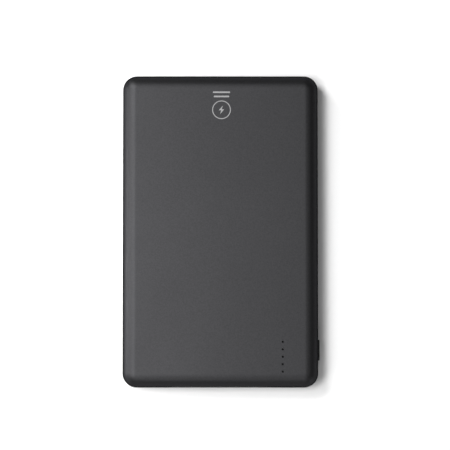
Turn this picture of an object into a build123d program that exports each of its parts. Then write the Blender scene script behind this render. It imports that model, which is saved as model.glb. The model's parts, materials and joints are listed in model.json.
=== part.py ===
from build123d import *

import os

# A slim aluminium power bank, modelled as the pieces it comes apart into.
#
# Frame: +Z up with the bank lying flat on its plain side, marked side upwards. Y runs along
# the length and the sockets are at the -Y end. The origin is the centre of the underside.
# Sizes are millimetres.

# ------------------------------------------------------------------ driving dimensions
CASE_W = 67.0  # across, X
CASE_L = 107.0  # along, Y
CASE_T = 12.0  # thick, Z
CORNER_R = 4.8  # plan corner of the case
ROLL_R = 4.3  # rolled edge of each cover
SHEET_T = 0.8  # cover sheet
SEAM_H = 0.8  # height of the plastic band between the two covers
Z_MID = CASE_T / 2

LED_COUNT = 5
LED_PITCH = 2.54
LED_X = 21.3
LED_Y = -43.1  # middle of the row
PINHOLE_R = 0.38

BUTTON_Y = -40.7
BUTTON_L = 7.2
BUTTON_H = 2.6
BUTTON_PROUD = 0.5  # twice its travel

PANEL_L = 36.0  # plastic socket panel, a slot shape
PANEL_H = 6.8
USB_A_X = -7.6
USB_A_SIZE = (13.1, 5.72, 12.9)  # outside of the shell, X by Z by depth
USB_A_CORNER_R = 0.6
USB_A_FRONT_Y = -52.5
USB_C_X = 9.4
USB_C_SIZE = (8.94, 3.16, 7.3)
USB_C_FRONT_Y = -52.8
USB_WALL = 0.3  # sheet that both socket shells are folded from

BOARD_W = 58.4
BOARD_T = 1.0
BOARD_Z = 4.2  # underside of the main board
BOARD_FRONT_Y = -50.4
BOARD_REAR_Y = -36.2

CELL_W = 57.4
CELL_T = 9.2
CELL_FRONT_Y = -31.0
CELL_REAR_Y = 44.6

SCREW_X = 26.6
SCREW_Y = 47.2
SHANK_R = 0.8
SHANK_GAP = 0.1  # round the shank where it passes through
SCREW_GRIP = 2.2  # thread inside each standoff
HEAD_R = 1.4
HEAD_GAP = 0.2
HEAD_H = 0.85

# ------------------------------------------------------------------ worked-out dimensions
COVER_H = (CASE_T - SEAM_H) / 2
FLOOR_Z = SHEET_T
CEILING_Z = CASE_T - SHEET_T
BOARD_TOP_Z = BOARD_Z + BOARD_T
SEAT_Z = FLOOR_Z + 0.2  # underside of what the bond tape holds to the bottom cover
CELL_Z = FLOOR_Z + 0.3  # the cell lies on thicker tape
CELL_TOP_Z = CELL_Z + CELL_T
FRAME_INSET = SHEET_T + 0.1  # case outside to the mid frame, which clears the covers
WALL_INSET = 2.9  # case outside to the mid frame's inner face
WALL_X = CASE_W / 2 - WALL_INSET
REACH = 100  # further than anything in the model
CHIP_EDGE_R = 0.1
SCREW_SPOTS = [(x, y) for x in (-SCREW_X, SCREW_X) for y in (-SCREW_Y, SCREW_Y)]
FRONT_SPOTS = [(x, y) for x, y in SCREW_SPOTS if y < 0]
REAR_SPOTS = [(x, y) for x, y in SCREW_SPOTS if y > 0]
LED_SPOTS = [(LED_X, LED_Y + (i - (LED_COUNT - 1) / 2) * LED_PITCH) for i in range(LED_COUNT)]
STANDOFF = 1.0  # the two cutting planes stand this far outside the case
FRONT = Plane.XZ.offset(CASE_L / 2 + STANDOFF)  # outside the socket end
RIGHT = Plane.YZ.offset(CASE_W / 2 + STANDOFF)  # outside the button side
THROUGH_WALL = STANDOFF + WALL_INSET + 0.5  # from those planes to inside the frame's wall

pieces = []


def keep(name, piece):
    """Labels a finished piece and keeps it for export."""
    piece.part.label = name
    pieces.append(piece.part)


def box_between(low, high, mode=Mode.ADD):
    """A box from its low corner to its high corner, in the open part."""
    size = [b - a for a, b in zip(low, high)]
    with Locations(tuple((a + b) / 2 for a, b in zip(low, high))):
        Box(*size, mode=mode)


def chips(spots, size, z, edge):
    """Small flat parts of one size lying on a board, X by Y by height, in the open part."""
    length, width, height = size
    for x, y in spots:
        box_between((x - length / 2, y - width / 2, z), (x + length / 2, y + width / 2, z + height))
    fillet(faces().filter_by(Axis.Z).group_by(Axis.Z)[-1].edges(), edge)


def socket_legs(middle_x, inner, outer, ys, half_w):
    """Flat legs out of both sides of a socket shell, on the main board, in the open part."""
    for sign in (-1, 1):
        low_x, high_x = sorted((middle_x + sign * inner, middle_x + sign * outer))
        for y in ys:
            low = (low_x, y - half_w, BOARD_TOP_Z)
            box_between(low, (high_x, y + half_w, BOARD_TOP_Z + LEG_T))


def folded_strips(points, thickness, bend, width, xs):
    """Strips of one folded (y, z) line, one centred on each x, in the open part."""
    for x in xs:
        with BuildSketch(Plane.YZ.offset(x - width / 2)) as profile:
            with BuildLine():
                fold = FilletPolyline(*points, radius=bend)
                offset(fold, thickness / 2, side=Side.BOTH)
            make_face()
        extrude(profile.sketch, amount=width)


def case_plan(inset):
    """The case's plan outline, inset by that much, in the open sketch."""
    RectangleRounded(CASE_W - 2 * inset, CASE_L - 2 * inset, CORNER_R - inset)


def rolled_body(inset):
    """The whole case shape inset by that much: flat faces and fully rolled edges."""
    with BuildPart() as body:
        with BuildSketch(Plane.XY.offset(inset)):
            case_plan(inset)
        extrude(amount=CASE_T - 2 * inset)
        flats = body.faces().sort_by(Axis.Z)[0].edges() + body.faces().sort_by(Axis.Z)[-1].edges()
        fillet(flats, ROLL_R - inset)
    return body.part


frame_core = rolled_body(FRAME_INSET)


def core_slice(low, high):
    """The part of the frame's core shape inside a box, so that it follows the covers."""
    with BuildPart() as piece:
        add(frame_core)
        box_between(low, high, mode=Mode.INTERSECT)
    return piece.part


# ------------------------------------------------------------------ aluminium covers
PANEL_GAP = 0.08
COVER_BUTTON_GAP = 0.15

with BuildPart() as cover_blank:
    with BuildSketch(Plane.XY.offset(CASE_T - COVER_H)):
        case_plan(0)
    extrude(amount=COVER_H)
    fillet(cover_blank.edges().group_by(Axis.Z)[-1], ROLL_R)
    offset(amount=-SHEET_T, openings=cover_blank.faces().sort_by(Axis.Z)[0])
    # room for the plastic socket panel
    with BuildSketch(FRONT):
        with Locations((0, Z_MID)):
            SlotOverall(PANEL_L + 2 * PANEL_GAP, PANEL_H + 2 * PANEL_GAP)
    extrude(amount=-THROUGH_WALL, mode=Mode.SUBTRACT)
    # notch for the button
    with BuildSketch(RIGHT):
        with Locations((BUTTON_Y, Z_MID)):
            SlotOverall(BUTTON_L + 2 * COVER_BUTTON_GAP, BUTTON_H + 2 * COVER_BUTTON_GAP)
    extrude(amount=-THROUGH_WALL, mode=Mode.SUBTRACT)

with BuildPart() as top_cover:
    add(cover_blank.part)
    with Locations(*[(x, y, CASE_T) for x, y in LED_SPOTS]):
        Hole(PINHOLE_R, depth=2 * SHEET_T)
keep("top_cover", top_cover)

with BuildPart() as bottom_cover:
    add(mirror(cover_blank.part, about=Plane.XY.offset(Z_MID), mode=Mode.PRIVATE))
keep("bottom_cover", bottom_cover)

# ------------------------------------------------------------------ plastic mid frame
WALL_LOW_Z = 1.7
BAND_INSET = 0.15
BAND_GAP = 0.05
PANEL_INSET = 0.03
PANEL_EDGE_R = 0.15
SHELL_GAP = 0.1  # round the socket shells
FRAME_BUTTON_GAP = 0.1
WEB_TOP_Z = 1.8  # top of the web under the main board
WEB_REAR_Y = BOARD_REAR_Y - 0.4
BAR_TOP_Z = 2.6  # top of the bar behind the cell
BAR_FRONT_Y = CELL_REAR_Y + 1.0
BOSS_R = 2.1
HEAD_SEAT_Z = 2.0  # where the screw heads bear
POST_R = 1.1
POSTS = [(-26.5, -38.6), (-18.0, -46.0), (2.0, -46.0), (17.0, -46.0), (26.0, -38.6)]
RIB_YS = (-20.0, 7.0, 34.0)
RIB_X = CELL_W / 2 + 0.4  # inner face of the ribs that centre the cell
RIB_HALF_L = 3.0
RIB_ROOT = 0.3  # how far the ribs run into the wall
RIB_END_Z = 2.2  # the ribs start this far above the underside

# The panel's face is flat, so it stands a little proud of the rolls above and below it.
with BuildPart() as panel_blank:
    with BuildSketch():
        case_plan(PANEL_INSET)
    extrude(amount=CASE_T)
    with BuildSketch(FRONT):
        with Locations((0, Z_MID)):
            SlotOverall(PANEL_L, PANEL_H)
    extrude(amount=-STANDOFF - WALL_INSET, mode=Mode.INTERSECT)
    fillet(panel_blank.edges().group_by(Axis.Y)[0], PANEL_EDGE_R)

with BuildPart() as mid_frame:
    add(core_slice((-REACH, -REACH, WALL_LOW_Z), (REACH, REACH, CASE_T - WALL_LOW_Z)))
    # the band that shows between the covers
    with BuildSketch(Plane.XY.offset(COVER_H + BAND_GAP)):
        case_plan(BAND_INSET)
    extrude(amount=SEAM_H - 2 * BAND_GAP)
    # open inside
    with BuildSketch():
        case_plan(WALL_INSET)
    extrude(amount=CASE_T, mode=Mode.SUBTRACT)
    add(panel_blank.part)
    # the web under the main board, and the bar behind the cell
    add(core_slice((-REACH, -REACH, SEAT_Z), (REACH, WEB_REAR_Y, WEB_TOP_Z)))
    add(core_slice((-REACH, BAR_FRONT_Y, SEAT_Z), (REACH, REACH, BAR_TOP_Z)))
    for spots, top in ((FRONT_SPOTS, BOARD_Z), (REAR_SPOTS, BOARD_TOP_Z)):
        with BuildSketch(Plane.XY.offset(SEAT_Z)):
            with Locations(*spots):
                Circle(BOSS_R)
        extrude(amount=top - SEAT_Z)
    with BuildSketch(Plane.XY.offset(WEB_TOP_Z)):
        with Locations(*POSTS):
            Circle(POST_R)
    extrude(amount=BOARD_Z - WEB_TOP_Z)
    for side in (-1, 1):
        for y in RIB_YS:
            inner, outer = sorted((side * RIB_X, side * (WALL_X + RIB_ROOT)))
            low = (inner, y - RIB_HALF_L, RIB_END_Z)
            box_between(low, (outer, y + RIB_HALF_L, CASE_T - RIB_END_Z))
    # socket windows
    with BuildSketch(FRONT):
        with Locations((USB_A_X, Z_MID)):
            RectangleRounded(
                USB_A_SIZE[0] + 2 * SHELL_GAP,
                USB_A_SIZE[1] + 2 * SHELL_GAP,
                USB_A_CORNER_R + SHELL_GAP,
            )
        with Locations((USB_C_X, Z_MID)):
            SlotOverall(USB_C_SIZE[0] + 2 * SHELL_GAP, USB_C_SIZE[1] + 2 * SHELL_GAP)
    extrude(amount=-THROUGH_WALL, mode=Mode.SUBTRACT)
    # button window
    with BuildSketch(RIGHT):
        with Locations((BUTTON_Y, Z_MID)):
            SlotOverall(BUTTON_L + 2 * FRAME_BUTTON_GAP, BUTTON_H + 2 * FRAME_BUTTON_GAP)
    extrude(amount=-THROUGH_WALL, mode=Mode.SUBTRACT)
    # screw holes, with the heads let in from below
    for radius, top in ((HEAD_R + HEAD_GAP, HEAD_SEAT_Z), (SHANK_R + SHANK_GAP, CASE_T)):
        with BuildSketch(Plane.XY.offset(SEAT_Z)):
            with Locations(*SCREW_SPOTS):
                Circle(radius)
        extrude(amount=top - SEAT_Z, mode=Mode.SUBTRACT)
keep("mid_frame", mid_frame)

# ------------------------------------------------------------------ fasteners and tapes
STANDOFF_R = 1.8
STANDOFF_FOOT_R = 2.0
STANDOFF_FOOT_H = 0.4
THREAD_DEPTH = 2.8
THREAD_GAP = 0.02
SHANK_L = BOARD_TOP_Z + SCREW_GRIP - HEAD_SEAT_Z
HEAD_EDGE_R = 0.25
RECESS = (1.5, 0.36, 0.5)  # cross recess, arm by width by depth
BOND_TAPE_HALF_W = 22.0
BOND_TAPE_YS = ((-48.8, -38.0), (46.0, 49.0))
CELL_TAPE_XS = (-16.0, 16.0)
CELL_TAPE_HALF_W = 8.0
CELL_TAPE_Y = (-24.0, 38.0)
FOAM_MARGIN = 5.0  # cell's edge to the foam pad's
FOAM_CORNER_R = 3.0

with BuildPart() as cover_standoffs:
    with BuildSketch(Plane.XY.offset(BOARD_TOP_Z)):
        with Locations(*SCREW_SPOTS):
            Circle(STANDOFF_R)
    extrude(amount=CEILING_Z - BOARD_TOP_Z)
    with BuildSketch(Plane.XY.offset(CEILING_Z - STANDOFF_FOOT_H)):
        with Locations(*SCREW_SPOTS):
            Circle(STANDOFF_FOOT_R)
    extrude(amount=STANDOFF_FOOT_H)
    with BuildSketch(Plane.XY.offset(BOARD_TOP_Z)):
        with Locations(*SCREW_SPOTS):
            Circle(SHANK_R + THREAD_GAP)
    extrude(amount=THREAD_DEPTH, mode=Mode.SUBTRACT)
keep("cover_standoffs", cover_standoffs)

with BuildPart() as cover_screws:
    with BuildSketch(Plane.XY.offset(HEAD_SEAT_Z - HEAD_H)):
        with Locations(*SCREW_SPOTS):
            Circle(HEAD_R)
    extrude(amount=HEAD_H)
    fillet(cover_screws.edges().group_by(Axis.Z)[0], HEAD_EDGE_R)
    with BuildSketch(Plane.XY.offset(HEAD_SEAT_Z)):
        with Locations(*SCREW_SPOTS):
            Circle(SHANK_R)
    extrude(amount=SHANK_L)
    # cross recess for the driver
    with BuildSketch(Plane.XY.offset(HEAD_SEAT_Z - HEAD_H)):
        with Locations(*SCREW_SPOTS):
            Rectangle(RECESS[0], RECESS[1])
            Rectangle(RECESS[1], RECESS[0])
    extrude(amount=RECESS[2], mode=Mode.SUBTRACT)
keep("cover_screws", cover_screws)

with BuildPart() as bottom_bond_tapes:
    for front_y, rear_y in BOND_TAPE_YS:
        box_between((-BOND_TAPE_HALF_W, front_y, FLOOR_Z), (BOND_TAPE_HALF_W, rear_y, SEAT_Z))
keep("bottom_bond_tapes", bottom_bond_tapes)

with BuildPart() as cell_tapes:
    for x in CELL_TAPE_XS:
        low = (x - CELL_TAPE_HALF_W, CELL_TAPE_Y[0], FLOOR_Z)
        box_between(low, (x + CELL_TAPE_HALF_W, CELL_TAPE_Y[1], CELL_Z))
keep("cell_tapes", cell_tapes)

with BuildPart() as cell_foam_pad:
    with BuildSketch(Plane.XY.offset(CELL_TOP_Z)):
        with Locations((0, (CELL_FRONT_Y + CELL_REAR_Y) / 2)):
            RectangleRounded(
                CELL_W - 2 * FOAM_MARGIN, CELL_REAR_Y - CELL_FRONT_Y - 2 * FOAM_MARGIN, FOAM_CORNER_R
            )
    extrude(amount=CEILING_Z - CELL_TOP_Z)
keep("cell_foam_pad", cell_foam_pad)

# ------------------------------------------------------------------ cell and its guard board
POUCH_SIDE_R = 2.2
POUCH_END_R = 0.8
TERRACE_W = 50.0  # the sealed edge of the pouch
TERRACE_Z = CELL_Z + 1.5
TERRACE_T = 0.4
TERRACE_ROOT = 1.5  # how far it runs into the pouch
TERRACE_FRONT_Y = CELL_FRONT_Y - 4.2
GUARD_Z = TERRACE_Z + TERRACE_T + 0.2
GUARD_T = 0.8
GUARD_TOP_Z = GUARD_Z + GUARD_T
GUARD_HALF_W = 20.0
GUARD_FRONT_Y = -35.0
GUARD_REAR_Y = -31.4
GUARD_CORNER_R = 0.5
GUARD_CHIP = (2.9, 2.8, 1.0)
GUARD_CHIP_SPOTS = [(-2.5, -33.2), (2.2, -33.2)]
TAB_T = 0.15
TAB_W = 6.0
TAB_XS = (-11.5, 12.5)
TAB_TURN_Y = GUARD_FRONT_Y - 0.6
TAB_END_Y = GUARD_FRONT_Y + 1.6
TAB_BEND_R = 0.2
END_TAPE_HALF_W = 8.0
END_TAPE_T = 0.1
END_TAPE_Z = GUARD_TOP_Z + 1.15
END_TAPE_TOP_Z = END_TAPE_Z + 2.7
LEAD_R = 0.6
LEAD_BEND_R = 1.2
LEAD_SPACE = 0.1  # under the lead where it is soldered
LEAD_ENDS = {"red_lead": (-19.0, -20.2), "black_lead": (-16.9, -16.2)}  # X at each end
GUARD_PAD_Y = -32.6
BOARD_PAD_Y = -38.4
SOLDER_CONE = (0.85, 0.5, 0.9)  # foot radius, top radius, height

with BuildPart() as pouch_cell:
    box_between((-CELL_W / 2, CELL_FRONT_Y, CELL_Z), (CELL_W / 2, CELL_REAR_Y, CELL_TOP_Z))
    fillet(pouch_cell.edges().filter_by(Axis.Y), POUCH_SIDE_R)
    ends = pouch_cell.edges().group_by(Axis.Y)
    fillet(ends[0] + ends[-1], POUCH_END_R)
    # sealed edge of the pouch, where the tabs come out
    box_between(
        (-TERRACE_W / 2, TERRACE_FRONT_Y, TERRACE_Z),
        (TERRACE_W / 2, CELL_FRONT_Y + TERRACE_ROOT, TERRACE_Z + TERRACE_T),
    )
keep("pouch_cell", pouch_cell)

with BuildPart() as cell_protection_board:
    low = (-GUARD_HALF_W, GUARD_FRONT_Y, GUARD_Z)
    box_between(low, (GUARD_HALF_W, GUARD_REAR_Y, GUARD_TOP_Z))
    fillet(cell_protection_board.edges().filter_by(Axis.Z), GUARD_CORNER_R)
keep("cell_protection_board", cell_protection_board)

with BuildPart() as cell_tabs:
    # each tab leaves the sealed edge, turns up and folds back on to the guard board
    tab_z = TERRACE_Z + TERRACE_T / 2
    tab_top_z = GUARD_TOP_Z + TAB_T / 2
    tab_line = [
        (TERRACE_FRONT_Y - TAB_T / 2, tab_z),
        (TAB_TURN_Y, tab_z),
        (TAB_TURN_Y, tab_top_z),
        (TAB_END_Y, tab_top_z),
    ]
    folded_strips(tab_line, TAB_T, TAB_BEND_R, TAB_W, TAB_XS)
keep("cell_tabs", cell_tabs)

with BuildPart() as cell_protection_chips:
    chips(GUARD_CHIP_SPOTS, GUARD_CHIP, GUARD_TOP_Z, CHIP_EDGE_R)
keep("cell_protection_chips", cell_protection_chips)

with BuildPart() as cell_end_tape:
    # folded from the cell's end face out over the guard board's chips
    for front_y, top_z in (
        (TAB_TURN_Y, END_TAPE_Z + END_TAPE_T),
        (CELL_FRONT_Y - END_TAPE_T, END_TAPE_TOP_Z),
    ):
        low = (-END_TAPE_HALF_W, front_y, END_TAPE_Z)
        box_between(low, (END_TAPE_HALF_W, CELL_FRONT_Y, top_z))
keep("cell_end_tape", cell_end_tape)

leads = {}
for name, (guard_x, board_x) in LEAD_ENDS.items():
    # up off the guard board's pad, over the gap and down to the main board's pad
    guard_z = GUARD_TOP_Z + LEAD_R
    board_z = BOARD_TOP_Z + LEAD_R
    with BuildPart() as lead:
        with BuildLine():
            run = FilletPolyline(
                (guard_x, GUARD_PAD_Y, guard_z + LEAD_SPACE),
                (guard_x, GUARD_PAD_Y - 1.6, guard_z + 5 * LEAD_SPACE),
                ((guard_x + board_x) / 2, BOARD_PAD_Y + 2.4, board_z + 6 * LEAD_SPACE),
                (board_x, BOARD_PAD_Y, board_z + LEAD_SPACE),
                radius=LEAD_BEND_R,
            )
        with BuildSketch(Plane(run @ 0, z_dir=run % 0)):
            Circle(LEAD_R)
        sweep()
    leads[name] = lead
    keep(name, lead)

with BuildPart() as solder_joints:
    for guard_x, board_x in LEAD_ENDS.values():
        for spot in ((guard_x, GUARD_PAD_Y, GUARD_TOP_Z), (board_x, BOARD_PAD_Y, BOARD_TOP_Z)):
            with Locations(spot):
                Cone(*SOLDER_CONE, align=(Align.CENTER, Align.CENTER, Align.MIN))
    for lead in leads.values():
        add(lead.part, mode=Mode.SUBTRACT)
keep("solder_joints", solder_joints)

# ------------------------------------------------------------------ main board
NOTCH_GAP = 0.2  # board to socket shells
BOARD_CORNER_R = 1.2
USB_A_REAR_Y = USB_A_FRONT_Y + USB_A_SIZE[2]
USB_C_REAR_Y = USB_C_FRONT_Y + USB_C_SIZE[2]
POWER_CHIP = (5.0, 5.0, 0.85)
POWER_CHIP_SPOT = (9.4, -40.4)
INDUCTOR = (7.1, 6.6, 4.0)
INDUCTOR_SPOT = (-20.5, -43.3)
INDUCTOR_CORNER_R = 1.0
INDUCTOR_EDGE_R = 0.4
CAPACITOR = (2.0, 1.25, 1.1)
CAPACITOR_EDGE_R = 0.12
CAPACITOR_SPOTS = (
    [(x, y) for x in (-27.0, 15.6) for y in (-43.6, -41.2, -38.8)]
    + [(2.0, y) for y in (-49.0, -46.9, -44.8)]
    + [(3.4, y) for y in (-40.0, -37.8)]
)
RESISTOR = (1.6, 0.8, 0.45)
RESISTOR_EDGE_R = 0.05
RESISTOR_SPOTS = [(-14.0 + 2.2 * i, -36.9) for i in range(6)]
LOAD_SWITCH = (2.9, 1.6, 1.0)
LOAD_SWITCH_SPOTS = [(16.9, -47.6), (2.6, -42.3)]

with BuildPart() as main_board:
    box_between(
        (-BOARD_W / 2, BOARD_FRONT_Y, BOARD_Z), (BOARD_W / 2, BOARD_REAR_Y, BOARD_TOP_Z)
    )
    fillet(main_board.edges().filter_by(Axis.Z), BOARD_CORNER_R)
    for x, size, rear_y in (
        (USB_A_X, USB_A_SIZE, USB_A_REAR_Y),
        (USB_C_X, USB_C_SIZE, USB_C_REAR_Y),
    ):
        half = size[0] / 2 + NOTCH_GAP
        box_between(
            (x - half, -REACH, BOARD_Z),
            (x + half, rear_y + NOTCH_GAP, BOARD_TOP_Z),
            mode=Mode.SUBTRACT,
        )
    with Locations(*[(x, y, BOARD_TOP_Z) for x, y in FRONT_SPOTS]):
        Hole(SHANK_R + SHANK_GAP, depth=BOARD_T)
keep("main_board", main_board)

with BuildPart() as power_chip:
    chips([POWER_CHIP_SPOT], POWER_CHIP, BOARD_TOP_Z, CHIP_EDGE_R)
keep("power_chip", power_chip)

with BuildPart() as power_inductor:
    with BuildSketch(Plane.XY.offset(BOARD_TOP_Z)):
        with Locations(INDUCTOR_SPOT):
            RectangleRounded(INDUCTOR[0], INDUCTOR[1], INDUCTOR_CORNER_R)
    extrude(amount=INDUCTOR[2])
    fillet(power_inductor.edges().group_by(Axis.Z)[-1], INDUCTOR_EDGE_R)
keep("power_inductor", power_inductor)

with BuildPart() as chip_capacitors:
    chips(CAPACITOR_SPOTS, CAPACITOR, BOARD_TOP_Z, CAPACITOR_EDGE_R)
keep("chip_capacitors", chip_capacitors)

with BuildPart() as chip_resistors:
    chips(RESISTOR_SPOTS, RESISTOR, BOARD_TOP_Z, RESISTOR_EDGE_R)
keep("chip_resistors", chip_resistors)

with BuildPart() as load_switches:
    chips(LOAD_SWITCH_SPOTS, LOAD_SWITCH, BOARD_TOP_Z, CHIP_EDGE_R)
keep("load_switches", load_switches)

# ------------------------------------------------------------------ charge lights
LED = (1.6, 0.8, 0.55)
GUIDE_HALF = (1.2, 5.6)
GUIDE_TOP_Z = CEILING_Z - 0.1
GUIDE_Z = BOARD_TOP_Z + LED[2]
STUB_R = PINHOLE_R - 0.05
STUB_TOP_Z = CASE_T - 0.55
MASK_HALF = (2.2, 6.05)
MASK_GAP = 0.1  # round the light guide

with BuildPart() as indicator_leds:
    chips(LED_SPOTS, LED, BOARD_TOP_Z, CHIP_EDGE_R)
keep("indicator_leds", indicator_leds)

with BuildPart() as light_guide:
    box_between(
        (LED_X - GUIDE_HALF[0], LED_Y - GUIDE_HALF[1], GUIDE_Z),
        (LED_X + GUIDE_HALF[0], LED_Y + GUIDE_HALF[1], GUIDE_TOP_Z),
    )
    # a stub stands up into each pinhole
    with BuildSketch(Plane.XY.offset(GUIDE_TOP_Z)):
        with Locations(*LED_SPOTS):
            Circle(STUB_R)
    extrude(amount=STUB_TOP_Z - GUIDE_TOP_Z)
keep("light_guide", light_guide)

with BuildPart() as light_mask:
    for half, gap, mode in ((MASK_HALF, 0, Mode.ADD), (GUIDE_HALF, MASK_GAP, Mode.SUBTRACT)):
        box_between(
            (LED_X - half[0] - gap, LED_Y - half[1] - gap, BOARD_TOP_Z),
            (LED_X + half[0] + gap, LED_Y + half[1] + gap, CEILING_Z),
            mode=mode,
        )
keep("light_mask", light_mask)

# ------------------------------------------------------------------ USB-A socket
TONGUE_A = (11.1, 1.84)
TONGUE_A_TOP_Z = Z_MID + 1.86
TONGUE_A_Z = TONGUE_A_TOP_Z - TONGUE_A[1]
BLOCK_A_Y = -43.6  # front of the moulded block that fills the back of the shell
CONTACT_A_T = 0.15
CONTACT_A_XS = [USB_A_X + x for x in (-3.5, -1.0, 1.0, 3.5)]
BLOCK_A_CORNER_R = 0.5
TONGUE_A_Y = USB_A_FRONT_Y + 0.9  # front of the tongue
CONTACT_A_W = 1.0
CONTACT_A_BEND_R = 0.2
CONTACT_A_TIP_Y = USB_A_FRONT_Y + 1.6
CONTACT_A_TURN_Y = USB_A_REAR_Y + 0.5
CONTACT_A_END_Y = USB_A_REAR_Y + 1.6
BACK_A_Z = Z_MID + 0.4  # the shell's back is closed above this
FINGER_XS = (USB_A_X - 3.4, USB_A_X + 3.4)
FINGER_Y = (-51.3, -46.3)  # free tip and root of the shell's spring fingers
FINGER_HALF_W = 0.8
FINGER_GAP = 0.3  # cut round each finger
FINGER_ROOT = 0.1
FINGER_DIP = 0.35
LEG_T = 0.3  # shell legs, soldered to the top of the board
LEG_ROOT = 0.2  # how far a leg runs into its shell
LEG_A_REACH = 8.0  # from the socket's middle
LEG_A_HALF_W = 0.9
LEG_A_YS = (-47.6, -41.4)

with BuildPart() as usb_a_shell:
    with BuildSketch(Plane.XZ.offset(-USB_A_FRONT_Y)):
        with Locations((USB_A_X, Z_MID)):
            RectangleRounded(USB_A_SIZE[0], USB_A_SIZE[1], USB_A_CORNER_R)
            RectangleRounded(
                USB_A_SIZE[0] - 2 * USB_WALL,
                USB_A_SIZE[1] - 2 * USB_WALL,
                USB_A_CORNER_R - USB_WALL,
                mode=Mode.SUBTRACT,
            )
    extrude(amount=-USB_A_SIZE[2])
    # the back is closed above the contact tails
    half = USB_A_SIZE[0] / 2 - USB_WALL
    box_between(
        (USB_A_X - half, USB_A_REAR_Y - USB_WALL, BACK_A_Z),
        (USB_A_X + half, USB_A_REAR_Y, Z_MID + USB_A_SIZE[1] / 2 - USB_WALL),
    )
    # spring fingers, cut from the walls and bent in to grip a plug
    for sign in (-1, 1):
        wall_z = Z_MID + sign * (USB_A_SIZE[1] - USB_WALL) / 2
        for x in FINGER_XS:
            tip_z = wall_z - sign * FINGER_DIP
            slot_half_w = FINGER_HALF_W + FINGER_GAP
            low = (x - slot_half_w, FINGER_Y[0] - FINGER_GAP, wall_z - USB_WALL)
            box_between(low, (x + slot_half_w, FINGER_Y[1], wall_z + USB_WALL), Mode.SUBTRACT)
            with BuildSketch(Plane.YZ.offset(x - FINGER_HALF_W)):
                with BuildLine():
                    Polyline(
                        (FINGER_Y[1] + FINGER_ROOT, wall_z - USB_WALL / 2),
                        (FINGER_Y[1] + FINGER_ROOT, wall_z + USB_WALL / 2),
                        (FINGER_Y[0], tip_z + USB_WALL / 2),
                        (FINGER_Y[0], tip_z - USB_WALL / 2),
                        close=True,
                    )
                make_face()
            extrude(amount=2 * FINGER_HALF_W)
    socket_legs(USB_A_X, USB_A_SIZE[0] / 2 - LEG_ROOT, LEG_A_REACH, LEG_A_YS, LEG_A_HALF_W)
keep("usb_a_shell", usb_a_shell)

with BuildPart() as usb_a_contacts:
    contact_z = TONGUE_A_Z - CONTACT_A_T / 2
    tail_z = BOARD_TOP_Z + CONTACT_A_T / 2
    contact_line = [
        (CONTACT_A_TIP_Y, contact_z),
        (CONTACT_A_TURN_Y, contact_z),
        (CONTACT_A_TURN_Y, tail_z),
        (CONTACT_A_END_Y, tail_z),
    ]
    folded_strips(contact_line, CONTACT_A_T, CONTACT_A_BEND_R, CONTACT_A_W, CONTACT_A_XS)
keep("usb_a_contacts", usb_a_contacts)

with BuildPart() as usb_a_insulator:
    with BuildSketch(Plane.XZ.offset(-BLOCK_A_Y)):
        with Locations((USB_A_X, Z_MID)):
            RectangleRounded(
                USB_A_SIZE[0] - 2 * USB_WALL, USB_A_SIZE[1] - 2 * USB_WALL, BLOCK_A_CORNER_R
            )
    extrude(amount=BLOCK_A_Y - USB_A_REAR_Y + USB_WALL)
    box_between(
        (USB_A_X - TONGUE_A[0] / 2, TONGUE_A_Y, TONGUE_A_Z),
        (USB_A_X + TONGUE_A[0] / 2, BLOCK_A_Y, TONGUE_A_TOP_Z),
    )
    add(usb_a_contacts.part, mode=Mode.SUBTRACT)
keep("usb_a_insulator", usb_a_insulator)

# ------------------------------------------------------------------ USB-C socket
TONGUE_C = (6.69, 0.7)
TONGUE_C_Y = USB_C_FRONT_Y + 0.9
BLOCK_C_Y = -47.3  # front of its moulded block
BLOCK_C_GAP = 0.02
CONTACT_C_T = 0.1
CONTACT_C_W = 0.25
CONTACT_C_BEND_R = 0.1
CONTACT_C_TIP_Y = USB_C_FRONT_Y + 1.3
CONTACT_C_FOOT = 0.7
CONTACT_C_REACH = {-1: 0.4, 1: 1.6}  # behind the shell, lower row and upper row
CONTACT_C_XS = [USB_C_X + 0.5 * (i - 5.5) for i in range(12)]
LEG_C_REACH = 5.8
LEG_C_HALF_W = 0.6
LEG_C_YS = (-49.5, -46.6)

with BuildPart() as usb_c_shell:
    with BuildSketch(Plane.XZ.offset(-USB_C_FRONT_Y)):
        with Locations((USB_C_X, Z_MID)):
            SlotOverall(USB_C_SIZE[0], USB_C_SIZE[1])
            SlotOverall(
                USB_C_SIZE[0] - 2 * USB_WALL, USB_C_SIZE[1] - 2 * USB_WALL, mode=Mode.SUBTRACT
            )
    extrude(amount=-USB_C_SIZE[2])
    socket_legs(USB_C_X, USB_C_SIZE[0] / 2 - LEG_ROOT, LEG_C_REACH, LEG_C_YS, LEG_C_HALF_W)
keep("usb_c_shell", usb_c_shell)

with BuildPart() as usb_c_contacts:
    # the upper row's tails reach over the lower row's
    for sign, reach in CONTACT_C_REACH.items():
        row_z = Z_MID + sign * (TONGUE_C[1] + CONTACT_C_T) / 2
        tail_z = BOARD_TOP_Z + CONTACT_C_T / 2
        turn_y = USB_C_REAR_Y + reach
        contact_line = [
            (CONTACT_C_TIP_Y, row_z),
            (turn_y, row_z),
            (turn_y, tail_z),
            (turn_y + CONTACT_C_FOOT, tail_z),
        ]
        folded_strips(contact_line, CONTACT_C_T, CONTACT_C_BEND_R, CONTACT_C_W, CONTACT_C_XS)
keep("usb_c_contacts", usb_c_contacts)

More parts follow.
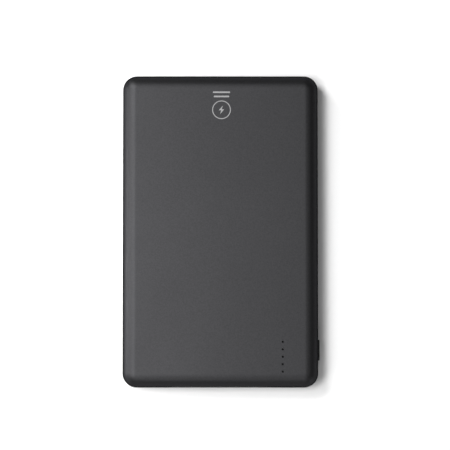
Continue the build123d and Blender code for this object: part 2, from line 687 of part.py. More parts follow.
with BuildPart() as usb_c_insulator:
    with BuildSketch(Plane.XZ.offset(-BLOCK_C_Y)):
        with Locations((USB_C_X, Z_MID)):
            margin = 2 * (USB_WALL + BLOCK_C_GAP)
            SlotOverall(USB_C_SIZE[0] - margin, USB_C_SIZE[1] - margin)
    extrude(amount=BLOCK_C_Y - USB_C_REAR_Y)
    box_between(
        (USB_C_X - TONGUE_C[0] / 2, TONGUE_C_Y, Z_MID - TONGUE_C[1] / 2),
        (USB_C_X + TONGUE_C[0] / 2, BLOCK_C_Y, Z_MID + TONGUE_C[1] / 2),
    )
    add(usb_c_contacts.part, mode=Mode.SUBTRACT)
keep("usb_c_insulator", usb_c_insulator)

# ------------------------------------------------------------------ button and its switch
FLANGE_T = 0.6
FLANGE_MARGIN = 1.0  # the flange runs past the cap's ends
FLANGE_RISE = 0.6  # and past its long sides
BUTTON_EDGE_R = 0.25
FLANGE_X = WALL_X - 0.1  # outer face of the flange
BUTTON_TIP_X = CASE_W / 2 + BUTTON_PROUD
NUB_X = 29.6
NUB_R = 0.8
PLUNGER_TIP_X = NUB_X - 0.05
SWITCH_X = (25.0, 28.3)
SWITCH_HALF_L = 2.35
SWITCH_H = 1.5
SWITCH_SHEET = 0.15
SWITCH_TOP_Z = BOARD_TOP_Z + SWITCH_H
SWITCH_OPEN = 0.1  # the sheet cap ends this far above the board
POCKET_X = (26.5, 27.9)
POCKET_HALF_L = 1.8
MOUTH_HALF_L = 1.3
MOUTH_Z = (BOARD_TOP_Z + 0.4, BOARD_TOP_Z + 1.3)
SLIDE_GAP = 0.05
SHOULDER_T = 0.5
PLUNGER_EDGE_R = 0.15

with BuildPart() as power_button:
    with BuildSketch(Plane.YZ.offset(FLANGE_X)):
        with Locations((BUTTON_Y, Z_MID)):
            SlotOverall(BUTTON_L, BUTTON_H)
    extrude(amount=BUTTON_TIP_X - FLANGE_X)
    fillet(power_button.faces().sort_by(Axis.X)[-1].edges(), BUTTON_EDGE_R)
    with BuildSketch(Plane.YZ.offset(FLANGE_X)):
        with Locations((BUTTON_Y, Z_MID)):
            SlotOverall(BUTTON_L + 2 * FLANGE_MARGIN, BUTTON_H + 2 * FLANGE_RISE)
    extrude(amount=-FLANGE_T)
    # nub that meets the switch plunger
    with BuildSketch(Plane.YZ.offset(FLANGE_X - FLANGE_T)):
        with Locations((BUTTON_Y, Z_MID)):
            Circle(NUB_R)
    extrude(amount=NUB_X - FLANGE_X + FLANGE_T)
keep("power_button", power_button)

with BuildPart() as switch_base:
    box_between(
        (SWITCH_X[0], BUTTON_Y - SWITCH_HALF_L, BOARD_TOP_Z),
        (SWITCH_X[1], BUTTON_Y + SWITCH_HALF_L, SWITCH_TOP_Z),
    )
    box_between(
        (POCKET_X[0], BUTTON_Y - POCKET_HALF_L, MOUTH_Z[0]),
        (POCKET_X[1], BUTTON_Y + POCKET_HALF_L, MOUTH_Z[1]),
        mode=Mode.SUBTRACT,
    )
    box_between(
        (POCKET_X[1], BUTTON_Y - MOUTH_HALF_L, MOUTH_Z[0]),
        (SWITCH_X[1], BUTTON_Y + MOUTH_HALF_L, MOUTH_Z[1]),
        mode=Mode.SUBTRACT,
    )
keep("switch_base", switch_base)

with BuildPart() as switch_cover:
    # a sheet cap over the top and both ends of the base
    box_between(
        (SWITCH_X[0], BUTTON_Y - SWITCH_HALF_L - SWITCH_SHEET, BOARD_TOP_Z + SWITCH_OPEN),
        (SWITCH_X[1], BUTTON_Y + SWITCH_HALF_L + SWITCH_SHEET, SWITCH_TOP_Z + SWITCH_SHEET),
    )
    box_between(
        (SWITCH_X[0], BUTTON_Y - SWITCH_HALF_L, BOARD_TOP_Z),
        (SWITCH_X[1], BUTTON_Y + SWITCH_HALF_L, SWITCH_TOP_Z),
        mode=Mode.SUBTRACT,
    )
keep("switch_cover", switch_cover)

with BuildPart() as switch_plunger:
    box_between(
        (
            POCKET_X[1] - SLIDE_GAP,
            BUTTON_Y - MOUTH_HALF_L + SLIDE_GAP,
            MOUTH_Z[0] + SLIDE_GAP,
        ),
        (
            PLUNGER_TIP_X,
            BUTTON_Y + MOUTH_HALF_L - SLIDE_GAP,
            MOUTH_Z[1] - SLIDE_GAP,
        ),
    )
    fillet(switch_plunger.faces().sort_by(Axis.X)[-1].edges(), PLUNGER_EDGE_R)
    # shoulder that keeps it in the base
    box_between(
        (
            POCKET_X[1] - SLIDE_GAP - SHOULDER_T,
            BUTTON_Y - POCKET_HALF_L + SLIDE_GAP,
            MOUTH_Z[0] + SLIDE_GAP,
        ),
        (
            POCKET_X[1] - SLIDE_GAP,
            BUTTON_Y + POCKET_HALF_L - SLIDE_GAP,
            MOUTH_Z[1] - SLIDE_GAP,
        ),
    )
keep("switch_plunger", switch_plunger)

os.makedirs("parts", exist_ok=True)
for piece in pieces:
    export_step(piece, f"parts/{piece.label}.step")
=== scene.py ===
import json
import math

import bmesh
import bpy
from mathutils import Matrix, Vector


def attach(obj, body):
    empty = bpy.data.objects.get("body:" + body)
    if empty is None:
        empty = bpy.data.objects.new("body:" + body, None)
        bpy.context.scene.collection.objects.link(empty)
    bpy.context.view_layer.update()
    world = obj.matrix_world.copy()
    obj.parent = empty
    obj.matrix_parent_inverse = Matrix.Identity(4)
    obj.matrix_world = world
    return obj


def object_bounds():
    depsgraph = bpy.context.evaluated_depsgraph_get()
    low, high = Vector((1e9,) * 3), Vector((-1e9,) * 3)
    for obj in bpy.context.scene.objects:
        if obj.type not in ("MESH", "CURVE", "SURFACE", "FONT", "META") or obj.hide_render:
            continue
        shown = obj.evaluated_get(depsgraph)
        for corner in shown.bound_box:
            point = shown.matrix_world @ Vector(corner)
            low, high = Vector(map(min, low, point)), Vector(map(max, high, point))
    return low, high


# A slim aluminium power bank: its finishes, its printed mark and the studio it lies in.
# Lengths are metres, and MM turns millimetres into metres.

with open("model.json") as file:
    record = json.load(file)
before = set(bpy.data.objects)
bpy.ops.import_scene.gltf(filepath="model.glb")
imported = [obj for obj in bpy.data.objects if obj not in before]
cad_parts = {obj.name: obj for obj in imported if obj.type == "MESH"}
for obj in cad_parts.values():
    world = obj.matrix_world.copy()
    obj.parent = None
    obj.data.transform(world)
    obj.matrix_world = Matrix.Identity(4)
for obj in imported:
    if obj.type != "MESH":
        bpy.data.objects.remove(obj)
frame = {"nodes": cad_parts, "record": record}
cad_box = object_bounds()
NODES = frame["nodes"]
MM = 0.001
TOP_Z = cad_box[1].z


# ------------------------------------------------------------------ camera
CAMERA_TILT = math.radians(4.0)  # off straight down, towards the socket end
CAMERA_DISTANCE = 1.0
CAMERA_LENS = 234.0
AIM = Vector((1.6 * MM, 1.9 * MM, TOP_Z))


def make_camera():
    data = bpy.data.cameras.new("photo_camera")
    data.lens = CAMERA_LENS
    data.sensor_width = 36.0
    data.clip_start = 0.01
    camera = bpy.data.objects.new("photo_camera", data)
    bpy.context.scene.collection.objects.link(camera)
    back = Vector((0, -math.sin(CAMERA_TILT), math.cos(CAMERA_TILT)))
    camera.location = AIM + CAMERA_DISTANCE * back
    camera.rotation_euler = (CAMERA_TILT, 0, 0)
    bpy.context.scene.camera = camera


# ------------------------------------------------------------------ studio
FAR = 0.6
NEAR = 0.32
# name: elevation and azimuth in degrees, distance, lamp diameter, watts.
# Azimuth runs from +X through +Y. The keys and most of the wash come over the left side.
LAMPS = {
    "key_left": (35, 180, NEAR, 0.12, 0.45),
    "key_rear_left": (35, 135, NEAR, 0.12, 0.4),
    "key_front_left": (55, 225, NEAR, 0.12, 0.25),
    "wash_top_left": (75, 190, FAR, 0.18, 1.6),
    "wash_rear_left": (60, 135, FAR, 0.18, 1.7),
    "wash_front": (45, 270, FAR, 0.18, 0.6),
    "wash_right": (60, 0, FAR, 0.18, 0.25),
    "rim_left": (7, 180, FAR, 0.12, 1.3),
    "rim_front_left": (20, 215, FAR, 0.12, 0.3),
    "rim_front_right": (12, 315, FAR, 0.12, 0.3),
}
FILL_AZIMUTHS = (0, 45, 90, 225, 270)
FILL_ELEVATION = 7
FILL = (FAR, 0.12, 0.08)  # each fill's distance, lamp diameter and watts
WORLD_GLOW = 0.03
FLOOR_HALF = 4.0
CARD_START = 0.075  # the white sweep fades in from here
CARD_END = 0.13  # and is plain white from here
CARD_Z = 0.02 * MM
DOME_R = 3.9


def area_lamp(name, elevation, azimuth, distance, size, watts):
    data = bpy.data.lights.new(name, "AREA")
    data.shape = "DISK"
    data.size = size
    data.energy = watts
    lamp = bpy.data.objects.new(name, data)
    bpy.context.scene.collection.objects.link(lamp)
    up, round_z = math.radians(elevation), math.radians(azimuth)
    flat = math.cos(up)
    lamp.location = distance * Vector((flat * math.cos(round_z), flat * math.sin(round_z), math.sin(up)))
    lamp.rotation_euler = (-lamp.location).to_track_quat("-Z", "Y").to_euler()
    lamp.visible_camera = False


def make_world():
    world = bpy.data.worlds.new("studio")
    bpy.context.scene.world = world
    world.use_nodes = True
    background = world.node_tree.nodes["Background"]
    background.inputs["Color"].default_value = (1, 1, 1, 1)
    background.inputs["Strength"].default_value = WORLD_GLOW


def staged_mesh(name, bm, material):
    mesh = bpy.data.meshes.new(name)
    bm.to_mesh(mesh)
    bm.free()
    mesh.materials.append(material)
    obj = bpy.data.objects.new(name, mesh)
    bpy.context.scene.collection.objects.link(obj)
    return obj


def seen_by_camera_only(obj):
    obj.visible_diffuse = False
    obj.visible_glossy = False
    obj.visible_transmission = False
    obj.visible_volume_scatter = False
    obj.visible_shadow = False


def white_glow(name):
    material = bpy.data.materials.new(name)
    material.use_nodes = True
    tree = material.node_tree
    tree.nodes.remove(tree.nodes["Principled BSDF"])
    glow = tree.nodes.new("ShaderNodeEmission")
    glow.inputs["Color"].default_value = (1, 1, 1, 1)
    glow.inputs["Strength"].default_value = 1.0
    return material, tree, glow


def make_floor():
    paper = Finish("floor_paper", specular=0.2)
    paper.colour(paper.mix(paper.noise(1.5 * MM), (0.85, 0.85, 0.85), (0.87, 0.87, 0.87)))
    paper.roughness(paper.spread(paper.noise(0.4 * MM), 0.86, 0.94))
    bm = bmesh.new()
    bmesh.ops.create_grid(bm, x_segments=1, y_segments=1, size=FLOOR_HALF)
    staged_mesh("floor", bm, paper.material)


def make_white_sweep():
    """The floor running up into a white backdrop, which lights nothing."""
    material, tree, glow = white_glow("sweep_white")
    place = tree.nodes.new("ShaderNodeTexCoord").outputs["Object"]
    length = tree.nodes.new("ShaderNodeVectorMath")
    length.operation = "LENGTH"
    tree.links.new(place, length.inputs[0])
    fade = tree.nodes.new("ShaderNodeMapRange")
    fade.interpolation_type = "SMOOTHSTEP"
    fade.inputs["From Min"].default_value = CARD_START
    fade.inputs["From Max"].default_value = CARD_END
    tree.links.new(length.outputs["Value"], fade.inputs["Value"])
    clear = tree.nodes.new("ShaderNodeBsdfTransparent")
    blend = tree.nodes.new("ShaderNodeMixShader")
    tree.links.new(fade.outputs["Result"], blend.inputs["Fac"])
    tree.links.new(clear.outputs["BSDF"], blend.inputs[1])
    tree.links.new(glow.outputs["Emission"], blend.inputs[2])
    tree.links.new(blend.outputs["Shader"], tree.nodes["Material Output"].inputs["Surface"])
    bm = bmesh.new()
    bmesh.ops.create_circle(bm, cap_ends=True, segments=64, radius=FLOOR_HALF)
    card = staged_mesh("sweep_card", bm, material)
    card.location.z = CARD_Z
    seen_by_camera_only(card)

    material, tree, glow = white_glow("dome_white")
    tree.links.new(glow.outputs["Emission"], tree.nodes["Material Output"].inputs["Surface"])
    bm = bmesh.new()
    bmesh.ops.create_uvsphere(bm, u_segments=64, v_segments=32, radius=DOME_R)
    seen_by_camera_only(staged_mesh("backdrop_dome", bm, material))


# ------------------------------------------------------------------ how a finish is built
class Finish:
    """One material's nodes round its Principled shader, textured by the object's own place."""

    def __init__(self, name, metallic=0.0, specular=0.5):
        self.material = bpy.data.materials.new(name)
        self.material.use_nodes = True
        self.tree = self.material.node_tree
        self.shader = self.tree.nodes["Principled BSDF"]
        self.shader.inputs["Metallic"].default_value = metallic
        self.shader.inputs["Specular IOR Level"].default_value = specular
        self.coordinates = self.tree.nodes.new("ShaderNodeTexCoord")
        self.bumps = None  # the normal that the next relief is laid on

    def wire(self, source, target):
        self.tree.links.new(source, target)

    def place(self, stretch):
        """The object's coordinates, with features drawn out by that much along each axis."""
        if stretch == (1, 1, 1):
            return self.coordinates.outputs["Object"]
        mapping = self.tree.nodes.new("ShaderNodeMapping")
        mapping.inputs["Scale"].default_value = [1 / s for s in stretch]
        self.wire(self.coordinates.outputs["Object"], mapping.inputs["Vector"])
        return mapping.outputs["Vector"]

    def noise(self, size, detail=2.0, stretch=(1, 1, 1)):
        node = self.tree.nodes.new("ShaderNodeTexNoise")
        node.inputs["Scale"].default_value = 1 / size
        node.inputs["Detail"].default_value = detail
        self.wire(self.place(stretch), node.inputs["Vector"])
        return node.outputs["Fac"]

    def cells(self, size, stretch=(1, 1, 1)):
        node = self.tree.nodes.new("ShaderNodeTexVoronoi")
        node.inputs["Scale"].default_value = 1 / size
        self.wire(self.place(stretch), node.inputs["Vector"])
        return node.outputs["Distance"]

    def spread(self, value, low, high, start=0.3, end=0.7):
        """value, from start to end, turned into low to high and held there."""
        node = self.tree.nodes.new("ShaderNodeMapRange")
        self.wire(value, node.inputs["Value"])
        for name, limit in (("From Min", start), ("From Max", end), ("To Min", low), ("To Max", high)):
            node.inputs[name].default_value = limit
        return node.outputs["Result"]

    def maths(self, operation, a, b):
        node = self.tree.nodes.new("ShaderNodeMath")
        node.operation = operation
        for socket, value in zip(node.inputs, (a, b)):
            if isinstance(value, (int, float)):
                socket.default_value = value
            else:
                self.wire(value, socket)
        return node.outputs["Value"]

    def mix(self, share, first, second):
        """first where share is 0 and second where it is 1; each is a colour or a socket."""
        node = self.tree.nodes.new("ShaderNodeMix")
        node.data_type = "RGBA"
        colours = [s for s in node.inputs if s.type == "RGBA"]
        self.wire(share, node.inputs["Factor"])
        for socket, value in zip(colours, (first, second)):
            if isinstance(value, tuple):
                socket.default_value = (*value, 1)
            else:
                self.wire(value, socket)
        return next(s for s in node.outputs if s.type == "RGBA")

    def axis_value(self, name, axis):
        node = self.tree.nodes.new("ShaderNodeSeparateXYZ")
        self.wire(self.coordinates.outputs[name], node.inputs["Vector"])
        return node.outputs[axis]

    def soft_edges(self, radius):
        """Rounds the shading of sharp edges and gives where they are, from 0 to 1."""
        bevel = self.tree.nodes.new("ShaderNodeBevel")
        bevel.samples = 6
        bevel.inputs["Radius"].default_value = radius
        self.bumps = bevel.outputs["Normal"]
        dot = self.tree.nodes.new("ShaderNodeVectorMath")
        dot.operation = "DOT_PRODUCT"
        self.wire(bevel.outputs["Normal"], dot.inputs[0])
        self.wire(self.tree.nodes.new("ShaderNodeNewGeometry").outputs["Normal"], dot.inputs[1])
        return self.spread(dot.outputs["Value"], 1.0, 0.0, 0.80, 0.995)

    def ease_edges(self, radius, share):
        """Rounds the shading over a wider radius where share is 1."""
        bevel = self.tree.nodes.new("ShaderNodeBevel")
        bevel.samples = 8
        bevel.inputs["Radius"].default_value = radius
        blend = self.tree.nodes.new("ShaderNodeMix")
        blend.data_type = "VECTOR"
        narrow, wide = [s for s in blend.inputs if s.type == "VECTOR" and s.name in ("A", "B")]
        self.wire(share, blend.inputs["Factor"])
        self.wire(self.bumps, narrow)
        self.wire(bevel.outputs["Normal"], wide)
        self.bumps = next(s for s in blend.outputs if s.type == "VECTOR")

    def relief(self, height, depth):
        node = self.tree.nodes.new("ShaderNodeBump")
        node.inputs["Distance"].default_value = depth
        node.inputs["Strength"].default_value = 1.0
        self.wire(height, node.inputs["Height"])
        if self.bumps:
            self.wire(self.bumps, node.inputs["Normal"])
        self.bumps = node.outputs["Normal"]

    def colour(self, socket):
        self.wire(socket, self.shader.inputs["Base Color"])

    def roughness(self, socket):
        self.wire(socket, self.shader.inputs["Roughness"])

    def done(self):
        self.wire(self.bumps, self.shader.inputs["Normal"])
        return self.material


def shade(colour, factor):
    return tuple(c * factor for c in colour)


# ------------------------------------------------------------------ finishes on the outside
ANODISED = (0.037, 0.037, 0.039)
ROLL_EASE = 1.0 * MM  # a flat face's shading eases into the roll over this much either side
EASE_FROM_X = 28.0 * MM  # where that begins, clear of the pinholes
EASE_FROM_Y = 48.6 * MM
EASE_FROM_Z = 4.0 * MM  # from the middle of the thickness, clear of the seam
EASE_RAMP = 0.3 * MM


def on_roll_start(finish):
    """1 where a flat face turns into a roll, and 0 inside that and near the seam."""
    starts = (("X", 0, EASE_FROM_X), ("Y", 0, EASE_FROM_Y), ("Z", TOP_Z / 2, EASE_FROM_Z))
    distances = []
    for axis, middle, start in starts:
        away = finish.maths("SUBTRACT", finish.axis_value("Object", axis), middle)
        away = finish.maths("ABSOLUTE", away, 0)
        distances.append(finish.spread(away, 0, 1, start, start + EASE_RAMP))
    across, along, up = distances
    return finish.maths("MULTIPLY", finish.maths("MAXIMUM", across, along), up)


def anodised_shell():
    """Bead-blasted aluminium, dyed dark grey, lighter on sharp edges: partly dye worn thinner there,
    partly a painted highlight.
    """
    finish = Finish("anodised_shell", metallic=1.0)
    finish.shader.inputs["Specular Tint"].default_value = (0.3, 0.3, 0.3, 1)
    edges = finish.soft_edges(0.02 * MM)
    finish.ease_edges(ROLL_EASE, on_roll_start(finish))
    grain = finish.noise(0.11 * MM, detail=3)
    mottle = finish.noise(0.45 * MM, detail=4)
    cloud = finish.noise(26 * MM)
    dyed = finish.mix(finish.spread(mottle, 0, 1), shade(ANODISED, 0.88), shade(ANODISED, 1.12))
    dyed = finish.mix(finish.spread(grain, 0, 0.35), dyed, shade(ANODISED, 0.75))
    # sharp edges painted lighter, patchy with the mottle: partly worn dye, partly a painted highlight
    # along the rims
    worn_and_highlit = finish.maths("MULTIPLY", edges, finish.spread(mottle, 0.25, 0.7))
    finish.colour(finish.mix(worn_and_highlit, dyed, shade(ANODISED, 1.7)))
    finish.roughness(
        finish.maths("ADD", finish.spread(cloud, 0.48, 0.52), finish.spread(grain, -0.02, 0.02))
    )
    finish.relief(mottle, 0.0015 * MM)
    finish.relief(grain, 0.0025 * MM)
    return finish.done()


def moulded_plastic(name, colour, gloss, grain_size, grain_depth):
    """Injection-moulded plastic with a spark-eroded grain and worn, shinier edges."""
    finish = Finish(name, specular=0.2)
    edges = finish.soft_edges(0.07 * MM)
    grain = finish.noise(grain_size, detail=3)
    flow = finish.noise(5 * MM, detail=3, stretch=(4, 1, 1))
    base = finish.mix(finish.spread(flow, 0, 1), shade(colour, 0.85), shade(colour, 1.15))
    finish.colour(finish.mix(edges, base, shade(colour, 2.2)))
    dull = finish.spread(grain, gloss - 0.07, gloss + 0.07)
    finish.roughness(finish.maths("SUBTRACT", dull, finish.maths("MULTIPLY", edges, 0.12)))
    finish.relief(grain, grain_depth)
    return finish.done()


def frame_plastic():
    return moulded_plastic("frame_plastic", (0.014, 0.014, 0.0147), 0.60, 0.16 * MM, 0.006 * MM)


def button_plastic():
    return moulded_plastic("button_plastic", (0.010, 0.010, 0.0106), 0.50, 0.10 * MM, 0.003 * MM)


def plunger_plastic():
    return moulded_plastic("plunger_plastic", (0.52, 0.49, 0.42), 0.45, 0.12 * MM, 0.002 * MM)


def socket_plastic():
    """Black liquid-crystal polymer, with pale flow lines along the socket."""
    finish = Finish("socket_plastic", specular=0.4)
    edges = finish.soft_edges(0.04 * MM)
    flow = finish.noise(0.25 * MM, detail=4, stretch=(1, 8, 1))
    base = finish.mix(finish.spread(flow, 0, 1), (0.011, 0.011, 0.012), (0.022, 0.022, 0.023))
    finish.colour(finish.mix(edges, base, (0.05, 0.05, 0.052)))
    finish.roughness(finish.spread(flow, 0.36, 0.52))
    finish.relief(flow, 0.003 * MM)
    return finish.done()


def drawn_metal(name, colour, low_rough, high_rough, stretch, line=0.05 * MM, edge=0.05 * MM):
    """Sheet or turned metal with fine lines along one way and bright edges."""
    finish = Finish(name, metallic=1.0)
    edges = finish.soft_edges(edge)
    lines = finish.noise(line, detail=3, stretch=stretch)
    stain = finish.noise(1.8 * MM, detail=3)
    base = finish.mix(finish.spread(lines, 0, 1), shade(colour, 0.86), shade(colour, 1.06))
    base = finish.mix(finish.spread(stain, 0, 0.30), base, shade(colour, 0.70))
    finish.colour(finish.mix(finish.maths("MULTIPLY", edges, 0.6), base, shade(colour, 1.35)))
    rough = finish.spread(lines, low_rough, high_rough)
    finish.roughness(finish.maths("ADD", rough, finish.spread(stain, -0.03, 0.05)))
    finish.relief(lines, 0.0012 * MM)
    return finish.done()


def socket_steel():
    return drawn_metal("socket_steel", (0.50, 0.495, 0.48), 0.24, 0.40, (1, 25, 1))


def contact_gold():
    return drawn_metal("contact_gold", (0.78, 0.54, 0.21), 0.18, 0.34, (1, 30, 1), 0.03 * MM, 0.02 * MM)


def nickel_tab():
    return drawn_metal("nickel_tab", (0.60, 0.57, 0.51), 0.28, 0.42, (1, 20, 1))


def standoff_alloy():
    return drawn_metal("standoff_alloy", (0.66, 0.66, 0.67), 0.22, 0.38, (20, 20, 1), 0.08 * MM)


def screw_steel():
    return drawn_metal("screw_steel", (0.30, 0.29, 0.28), 0.24, 0.40, (12, 12, 1), 0.10 * MM)


# ------------------------------------------------------------------ finishes on the inside
def solder():
    finish = Finish("solder", metallic=1.0)
    skin = finish.noise(0.30 * MM, detail=3)
    frost = finish.noise(0.05 * MM, detail=2)
    finish.colour(finish.mix(finish.spread(skin, 0, 1), (0.50, 0.50, 0.49), (0.68, 0.68, 0.66)))
    finish.roughness(finish.spread(frost, 0.16, 0.36))
    finish.relief(skin, 0.02 * MM)
    finish.relief(frost, 0.002 * MM)
    return finish.done()


def tape(name, colour, gloss, fibre_stretch):
    """Adhesive tape: a fine fibrous face with a few small bubbles under it."""
    finish = Finish(name, specular=0.4)
    fibres = finish.noise(0.12 * MM, detail=4, stretch=fibre_stretch)
    bubbles = finish.spread(finish.cells(1.6 * MM), 1, 0, 0.02, 0.16)
    base = finish.mix(finish.spread(fibres, 0, 1), shade(colour, 0.78), shade(colour, 1.18))
    finish.colour(finish.mix(bubbles, base, shade(colour, 1.5)))
    finish.roughness(finish.spread(fibres, gloss - 0.08, gloss + 0.08))
    finish.relief(fibres, 0.006 * MM)
    finish.relief(bubbles, 0.02 * MM)
    return finish.done()


def bond_tape():
    return tape("bond_tape", (0.020, 0.020, 0.021), 0.78, (1, 6, 1))


def amber_tape():
    return tape("amber_tape", (0.52, 0.21, 0.025), 0.30, (10, 1, 1))


def black_foam():
    """Closed-cell foam: a skin of burst pores, with painted shade in the hollow of each pore."""
    finish = Finish("black_foam", specular=0.25)
    pores = finish.cells(0.22 * MM)
    lumps = finish.noise(1.1 * MM, detail=3)
    pores_and_pit_shade = finish.spread(pores, 0, 1, 0.15, 0.75)
    # each pore's hollow, a pit in the relief below, is painted darker: painted shade
    finish.colour(finish.mix(pores_and_pit_shade, (0.006, 0.006, 0.006), (0.026, 0.026, 0.027)))
    finish.roughness(finish.spread(lumps, 0.86, 0.97))
    finish.relief(pores_and_pit_shade, 0.07 * MM)
    finish.relief(lumps, 0.05 * MM)
    return finish.done()


def pouch_foil():
    """Aluminium laminate, drawn tight over the cell with shallow wrinkles."""
    finish = Finish("pouch_foil", metallic=1.0)
    edges = finish.soft_edges(0.3 * MM)
    wrinkles = finish.noise(5 * MM, detail=4, stretch=(1, 2.5, 1))
    sheen = finish.noise(0.06 * MM, detail=2, stretch=(20, 1, 1))
    base = finish.mix(finish.spread(wrinkles, 0, 1), (0.58, 0.59, 0.60), (0.72, 0.73, 0.74))
    finish.colour(finish.mix(edges, base, (0.50, 0.51, 0.52)))
    finish.roughness(finish.spread(sheen, 0.26, 0.42))
    finish.relief(wrinkles, 0.12 * MM)
    finish.relief(sheen, 0.001 * MM)
    return finish.done()


def green_board():
    """Solder mask over copper traces, with the bare laminate on the cut edges."""
    finish = Finish("green_board", specular=0.5)
    weave = finish.cells(0.35 * MM, stretch=(1, 1, 4))
    bricks = finish.tree.nodes.new("ShaderNodeTexBrick")
    bricks.inputs["Scale"].default_value = 1 / (1.9 * MM)
    bricks.inputs["Mortar Size"].default_value = 0.045
    bricks.inputs["Mortar Smooth"].default_value = 0.3
    bricks.inputs["Row Height"].default_value = 0.35
    bricks.offset = 0.37
    finish.wire(finish.coordinates.outputs["Object"], bricks.inputs["Vector"])
    gate = finish.spread(finish.noise(3.2 * MM), 0, 1, 0.46, 0.50)
    traces = finish.maths("MULTIPLY", bricks.outputs["Fac"], gate)
    mask = finish.mix(finish.spread(weave, 0, 1), (0.004, 0.052, 0.020), (0.006, 0.066, 0.026))
    mask = finish.mix(traces, mask, (0.014, 0.135, 0.055))
    upright = finish.maths("ABSOLUTE", finish.axis_value("Normal", "Z"), 0)
    cut_edge = finish.spread(upright, 1, 0, 0.4, 0.6)
    laminate = finish.mix(finish.spread(weave, 0, 1), (0.30, 0.24, 0.10), (0.40, 0.33, 0.16))
    finish.colour(finish.mix(cut_edge, mask, laminate))
    finish.roughness(finish.maths("ADD", finish.spread(weave, 0.24, 0.32), cut_edge))
    finish.relief(traces, 0.03 * MM)
    finish.relief(weave, 0.003 * MM)
    return finish.done()


def grainy(name, dark, light, size, rough, depth):
    """A pressed or filled body: grains of two tones, matt between them."""
    finish = Finish(name, specular=0.4)
    edges = finish.soft_edges(0.05 * MM)
    grains = finish.cells(size)
    speck = finish.noise(size * 0.4, detail=3)
    tone = finish.maths("ADD", finish.spread(grains, 0, 0.6), finish.spread(speck, 0, 0.4))
    finish.colour(finish.mix(edges, finish.mix(tone, dark, light), shade(light, 1.5)))
    finish.roughness(finish.spread(speck, rough - 0.08, rough + 0.08))
    finish.relief(tone, depth)
    return finish


def chip_resin():
    dark, light = (0.012, 0.012, 0.013), (0.028, 0.028, 0.029)
    return grainy("chip_resin", dark, light, 0.12 * MM, 0.55, 0.006 * MM).done()


def ferrite():
    dark, light = (0.022, 0.022, 0.022), (0.075, 0.073, 0.070)
    return grainy("ferrite", dark, light, 0.28 * MM, 0.72, 0.02 * MM).done()


def led_body():
    """Pale resin, grained with yellow phosphor."""
    dark, light = (0.62, 0.55, 0.30), (0.74, 0.70, 0.52)
    return grainy("led_body", dark, light, 0.20 * MM, 0.34, 0.004 * MM).done()


CAPACITOR_REACH = 1.05 * MM  # from a capacitor's middle to just past its end
CAPACITOR_BARE = 0.58 * MM  # from its middle to where the plating starts


def capacitor_ceramic():
    """Tan fired ceramic, plated at both ends of each capacitor."""
    dark, light = (0.26, 0.16, 0.09), (0.36, 0.25, 0.15)
    finish = grainy("capacitor_ceramic", dark, light, 0.10 * MM, 0.5, 0.003 * MM)
    across = finish.axis_value("Object", "X")
    ends = None
    for centre in sorted({round(c.x, 5) for c in solid_centres("chip_capacitors")}):
        away = finish.maths("ABSOLUTE", finish.maths("SUBTRACT", across, centre), 0)
        inside = finish.maths("LESS_THAN", away, CAPACITOR_REACH)
        plated = finish.maths("GREATER_THAN", away, CAPACITOR_BARE)
        here = finish.maths("MULTIPLY", inside, plated)
        ends = here if ends is None else finish.maths("MAXIMUM", ends, here)
    ceramic = finish.shader.inputs["Base Color"].links[0].from_socket
    finish.colour(finish.mix(ends, ceramic, (0.58, 0.57, 0.55)))
    finish.wire(ends, finish.shader.inputs["Metallic"])
    return finish.done()


def insulation(name, colour):
    """Silicone lead insulation with a light bloom of dust."""
    finish = Finish(name, specular=0.45)
    bloom = finish.noise(0.5 * MM, detail=4)
    ripple = finish.noise(0.15 * MM, detail=2, stretch=(1, 4, 1))
    finish.colour(finish.mix(finish.spread(bloom, 0, 1), shade(colour, 0.85), shade(colour, 1.2)))
    finish.roughness(finish.spread(bloom, 0.38, 0.55))
    finish.relief(ripple, 0.006 * MM)
    return finish.done()


def red_insulation():
    return insulation("red_insulation", (0.42, 0.018, 0.014))


def black_insulation():
    return insulation("black_insulation", (0.018, 0.018, 0.018))


def light_guide_plastic():
    """Smoked acrylic, which reads almost black from outside when the lights are off."""
    finish = Finish("light_guide_plastic", specular=0.1)
    haze = finish.noise(0.4 * MM, detail=3)
    finish.colour(finish.mix(finish.spread(haze, 0, 1), (0.003, 0.003, 0.003), (0.006, 0.006, 0.006)))
    finish.roughness(finish.spread(haze, 0.60, 0.72))
    finish.relief(haze, 0.004 * MM)
    return finish.done()


def printed_mark():
    """Pale grey ink, slightly uneven, laid on the blasted face."""
    finish = Finish("printed_mark", specular=0.3)
    coverage = finish.noise(0.09 * MM, detail=3)
    finish.colour(finish.mix(finish.spread(coverage, 0, 1), (0.19, 0.19, 0.193), (0.24, 0.24, 0.243)))
    finish.roughness(finish.spread(coverage, 0.55, 0.75))
    finish.relief(coverage, 0.002 * MM)
    return finish.done()


FINISHES = {
    make.__name__: make
    for make in (
        anodised_shell, frame_plastic, button_plastic, plunger_plastic, socket_plastic, socket_steel,
        contact_gold, nickel_tab, standoff_alloy, screw_steel, solder, bond_tape, amber_tape,
        black_foam, pouch_foil, green_board, chip_resin, ferrite, led_body, capacitor_ceramic,
        red_insulation, black_insulation, light_guide_plastic,
    )
}


def solid_centres(name):
    """The centre of each separate solid in a CAD node."""
    bm = bmesh.new()
    bm.from_mesh(NODES[name].data)
    bmesh.ops.remove_doubles(bm, verts=bm.verts, dist=1e-6)
    left = set(bm.verts)
    found = []
    while left:
        reached = {left.pop()}
        edge = set(reached)
        while edge:
            edge = {e.other_vert(v) for v in edge for e in v.link_edges} - reached
            reached |= edge
        left -= reached
        places = [v.co for v in reached]
        low = Vector([min(p[i] for p in places) for i in range(3)])
        high = Vector([max(p[i] for p in places) for i in range(3)])
        found.append((low + high) / 2)
    bm.free()
    return found


def finish_cad_nodes():
    """Every CAD node gets the detailed finish of the slot that the record gives it."""
    made = {}
    for part in frame["record"]["subparts"]:
        slot = part["material_slot"]
        if slot not in made:
            made[slot] = FINISHES[slot]()
        mesh = NODES[part["node"]].data
        mesh.materials.clear()
        mesh.materials.append(made[slot])


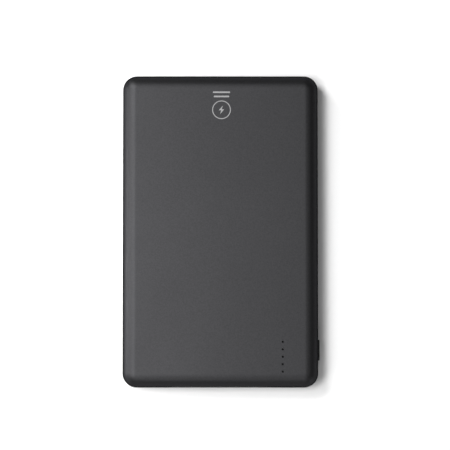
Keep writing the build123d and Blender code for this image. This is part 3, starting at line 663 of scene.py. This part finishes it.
# ------------------------------------------------------------------ the mark on the top face
MARK_X = 0.4 * MM
MARK_Y = 41.5 * MM
MARK_LINE = 0.30 * MM
MARK_LOW_Z = TOP_Z - 0.004 * MM
MARK_HIGH_Z = TOP_Z + 0.012 * MM
RING_R = 3.2 * MM
BOLT_HEIGHT = 3.0 * MM
BAR_HEIGHT = 0.55 * MM
BAR_ROWS = ((46.10 * MM, 5.3 * MM), (47.55 * MM, 5.9 * MM))  # Y of each plain bar, and its width


def rounded_outline(x, y, width, height, radius, steps=6):
    """Points round a rounded rectangle, anticlockwise."""
    points = []
    for quarter, (sx, sy) in enumerate(((1, 1), (-1, 1), (-1, -1), (1, -1))):
        cx = x + sx * (width / 2 - radius)
        cy = y + sy * (height / 2 - radius)
        for step in range(steps + 1):
            turn = math.pi / 2 * (quarter + step / steps)
            points.append((cx + radius * math.cos(turn), cy + radius * math.sin(turn)))
    return points


def circle(x, y, radius):
    return rounded_outline(x, y, 2 * radius, 2 * radius, radius, steps=12)


def side_faces(bm, low, high):
    for i in range(len(low)):
        j = (i + 1) % len(low)
        bm.faces.new((low[i], low[j], high[j], high[i]))


def add_plate(bm, outline):
    """A thin filled shape of ink."""
    low, high = [
        [bm.verts.new((x, y, z)) for x, y in outline] for z in (MARK_LOW_Z, MARK_HIGH_Z)
    ]
    bm.faces.new(high)
    bm.faces.new(low[::-1])
    side_faces(bm, low, high)


def add_loop(bm, outer, inner):
    """A thin closed line of ink between two outlines with as many points."""
    rings = [
        [bm.verts.new((x, y, z)) for x, y in outline]
        for outline in (outer, inner)
        for z in (MARK_LOW_Z, MARK_HIGH_Z)
    ]
    outer_low, outer_high, inner_low, inner_high = rings
    side_faces(bm, outer_low, outer_high)
    side_faces(bm, inner_high, inner_low)
    side_faces(bm, outer_high, inner_high)
    side_faces(bm, inner_low, outer_low)


def bolt_outline(x, y, height):
    """A lightning bolt, the same either way up."""
    half = [(0.30, 1.0), (-0.62, -0.12), (-0.08, -0.12)]
    points = [(px, py) for px, py in half] + [(-px, -py) for px, py in half]
    return [(x + px * height / 2, y + py * height / 2) for px, py in points]


def make_face_mark():
    """A plain ring with a bolt in it, and two plain bars above it."""
    bm = bmesh.new()
    add_loop(bm, circle(MARK_X, MARK_Y, RING_R), circle(MARK_X, MARK_Y, RING_R - MARK_LINE))
    add_plate(bm, bolt_outline(MARK_X, MARK_Y, BOLT_HEIGHT))
    for y, bar_width in BAR_ROWS:
        add_plate(bm, rounded_outline(MARK_X, y, bar_width, BAR_HEIGHT, BAR_HEIGHT * 0.4))
    mesh = bpy.data.meshes.new("face_mark")
    bmesh.ops.recalc_face_normals(bm, faces=bm.faces)
    bm.to_mesh(mesh)
    bm.free()
    mesh.materials.append(printed_mark())
    mark = bpy.data.objects.new("face_mark", mesh)
    bpy.context.scene.collection.objects.link(mark)
    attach(mark, "case")


# ------------------------------------------------------------------ the scene
make_camera()
make_world()
make_floor()
make_white_sweep()
for name, settings in LAMPS.items():
    area_lamp(name, *settings)
for azimuth in FILL_AZIMUTHS:
    area_lamp(f"fill_{azimuth}", FILL_ELEVATION, azimuth, *FILL)
finish_cad_nodes()
make_face_mark()
bpy.context.scene.view_settings.view_transform = "Standard"
